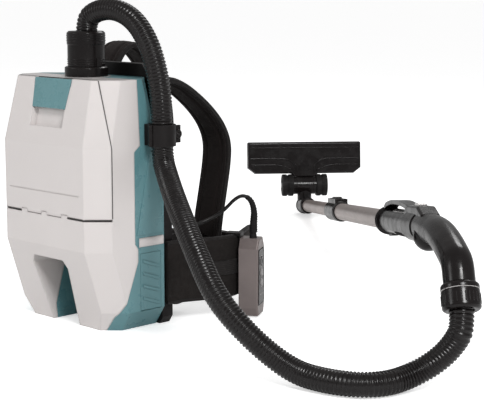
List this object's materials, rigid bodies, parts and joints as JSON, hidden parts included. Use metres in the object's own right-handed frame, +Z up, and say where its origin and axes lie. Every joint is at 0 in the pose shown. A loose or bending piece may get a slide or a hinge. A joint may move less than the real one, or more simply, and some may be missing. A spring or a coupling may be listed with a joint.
{
  "type": "backpack vacuum cleaner",
  "caption": "Backpack vacuum cleaner with a harness and hip belt, top hose inlet, ribbed suction hose, bent handle, telescopic wand and hinged floor head.",
  "frame": {"origin": "on the floor, at the centre of the back plate's foot", "axes": "+Z up, the white front faces -Y, +X is to the right when the front is seen with the hose clip at the side"},
  "size_m": [1.3261, 1.3047, 0.5306],
  "materials": {
    "shell_white": "warm white gloss moulding",
    "shell_teal": "fine-grained teal moulding",
    "black_moulding": "black gloss moulding",
    "black_matt": "black fine-grained moulding",
    "fabric_black": "black spacer mesh over foam",
    "webbing_black": "black woven webbing",
    "hose_black": "black ribbed hose",
    "cable_black": "black cable jacket",
    "taupe_metal": "taupe anodised tube",
    "taupe_case": "taupe metallic lacquer",
    "panel_dark": "dark gloss panel",
    "button_light": "light grey keys",
    "steel_pin": "ground steel",
    "bag_paper": "fleece bag",
    "collar_card": "card collar",
    "filter_paper": "pleated filter medium",
    "battery_case": "dark battery case",
    "board_green": "solder-masked board",
    "mount_rubber": "soft rubber",
    "motor_metal": "cast motor housing",
    "brush_black": "black bristle strip",
    "tyre_black": "black wheel"
  },
  "bodies": {
    "unit": {"back_pad": "fabric_black", "back_plate": "black_matt", "bag_collar": "collar_card", "battery_left": "battery_case", "battery_right": "battery_case", "belt_hook": "black_matt", "belt_webbing_left": "webbing_black", "belt_webbing_right": "webbing_black", "buckle_plug": "black_moulding", "buckle_socket": "black_moulding", "cable_gland": "cable_black", "circuit_board": "board_green", "control_box": "taupe_case", "control_cable": "cable_black", "control_panel": "panel_dark", "cover_hinge_pin": "steel_pin", "dust_bag": "bag_paper", "filter_frame": "black_matt", "front_shell": "shell_white", "handle_cuff": "black_moulding", "hepa_filter": "filter_paper", "hip_belt_left": "fabric_black", "hip_belt_right": "fabric_black", "hose_clip_base": "black_moulding", "inlet_flange": "black_moulding", "motor_housing": "motor_metal", "motor_mount": "mount_rubber", "rear_housing": "shell_teal", "shoulder_strap_left": "fabric_black", "shoulder_strap_right": "fabric_black", "strap_adjuster_left": "black_moulding", "strap_adjuster_right": "black_moulding", "strap_webbing_left": "webbing_black", "strap_webbing_right": "webbing_black", "suction_hose": "hose_black"},
    "front_cover": {"front_cover": "shell_white"},
    "cover_latch": {"cover_latch": "shell_teal"},
    "battery_cover_right": {"battery_cover_right": "shell_teal"},
    "battery_cover_left": {"battery_cover_left": "shell_teal"},
    "hose_cuff": {"hose_cuff": "black_moulding"},
    "impeller": {"impeller": "black_matt"},
    "hose_clip_gate": {"hose_clip_gate": "black_moulding"},
    "button_power": {"button_power": "button_light"},
    "button_boost": {"button_boost": "button_light"},
    "button_eco": {"button_eco": "button_light"},
    "wand": {"handle": "black_moulding", "outer_tube": "taupe_metal", "tube_lock": "black_moulding"},
    "release_lever": {"release_lever": "black_matt"},
    "suction_slider": {"suction_slider": "black_matt"},
    "inner_tube": {"inner_tube": "taupe_metal"},
    "lock_button": {"lock_button": "black_matt"},
    "elbow": {"elbow": "black_moulding"},
    "floor_head": {"head_body": "black_moulding", "head_axle": "steel_pin", "sole_plate": "black_matt", "brush_strip_front": "brush_black", "brush_strip_rear": "brush_black"},
    "wheel_left": {"wheel_left": "tyre_black"},
    "wheel_right": {"wheel_right": "tyre_black"}
  },
  "joints": [
    {"name": "front_cover_hinge", "type": "hinge", "parent": "unit", "child": "front_cover", "pos_m": [0, -0.1519, 0.187], "axis": [1, 0, 0], "range_deg": [0, 95]},
    {"name": "cover_latch_pivot", "type": "hinge", "parent": "front_cover", "child": "cover_latch", "pos_m": [0, -0.12802, 0.39648], "axis": [-1, 0, 0], "range_deg": [0, 30]},
    {"name": "battery_cover_right_hinge", "type": "hinge", "parent": "unit", "child": "battery_cover_right", "pos_m": [0.1318, 0, 0.034], "axis": [0, 1, 0], "range_deg": [0, 95]},
    {"name": "battery_cover_left_hinge", "type": "hinge", "parent": "unit", "child": "battery_cover_left", "pos_m": [-0.1318, 0, 0.034], "axis": [0, -1, 0], "range_deg": [0, 95]},
    {"name": "hose_cuff_swivel", "type": "hinge", "parent": "unit", "child": "hose_cuff", "pos_m": [0, -0.062, 0.42], "axis": [0, 0, 1], "continuous": true},
    {"name": "impeller_spin", "type": "hinge", "parent": "unit", "child": "impeller", "pos_m": [0, -0.08, 0.15], "axis": [0, 0, 1], "continuous": true},
    {"name": "hose_clip_hinge", "type": "hinge", "parent": "unit", "child": "hose_clip_gate", "pos_m": [0.159, -0.0627, 0.317], "axis": [0, 0, -1], "range_deg": [0, 100]},
    {"name": "button_power_press", "type": "slide", "parent": "unit", "child": "button_power", "axis": [-0.866, -0.5, 0], "range_m": [0, 0.001], "stiffness_N_per_m": 300},
    {"name": "button_boost_press", "type": "slide", "parent": "unit", "child": "button_boost", "axis": [-0.866, -0.5, 0], "range_m": [0, 0.001], "stiffness_N_per_m": 300},
    {"name": "button_eco_press", "type": "slide", "parent": "unit", "child": "button_eco", "axis": [-0.866, -0.5, 0], "range_m": [0, 0.001], "stiffness_N_per_m": 300},
    {"name": "handle_swivel", "type": "hinge", "parent": "unit", "child": "wand", "pos_m": [0.70511, 0.01632, 0.11323], "axis": [0.3551, -0.2928, -0.8878], "range_deg": [-25, 90]},
    {"name": "release_lever_pivot", "type": "hinge", "parent": "wand", "child": "release_lever", "pos_m": [0.3593, 0.30149, 0.14032], "axis": [0.6362, 0.7715, 0], "range_deg": [0, 4], "stiffness_Nm_per_rad": 0.05},
    {"name": "suction_slider_slide", "type": "slide", "parent": "wand", "child": "suction_slider", "axis": [0.7651, -0.6309, 0.1288], "range_m": [0, 0.016]},
    {"name": "inner_tube_slide", "type": "slide", "parent": "wand", "child": "inner_tube", "axis": [0.7651, -0.6309, 0.1288], "range_m": [0, 0.36]},
    {"name": "lock_button_slide", "type": "slide", "parent": "wand", "child": "lock_button", "axis": [0.7651, -0.6309, 0.1288], "range_m": [0, 0.007], "stiffness_N_per_m": 200},
    {"name": "elbow_swivel", "type": "hinge", "parent": "inner_tube", "child": "elbow", "pos_m": [-0.4783, 0.9922, 0.0209], "axis": [0.7651, -0.6309, 0.1288], "range_deg": [-90, 90]},
    {"name": "head_pivot", "type": "hinge", "parent": "elbow", "child": "floor_head", "pos_m": [-0.48317, 0.99621, 0.06949], "axis": [-0.6362, -0.7715, 0], "range_deg": [0, 80]},
    {"name": "wheel_left_spin", "type": "hinge", "parent": "floor_head", "child": "wheel_left", "pos_m": [-0.50925, 0.96458, 0.06949], "axis": [0.6362, 0.7715, 0], "continuous": true},
    {"name": "wheel_right_spin", "type": "hinge", "parent": "floor_head", "child": "wheel_right", "pos_m": [-0.45708, 1.02785, 0.06949], "axis": [0.6362, 0.7715, 0], "continuous": true}
  ]
}
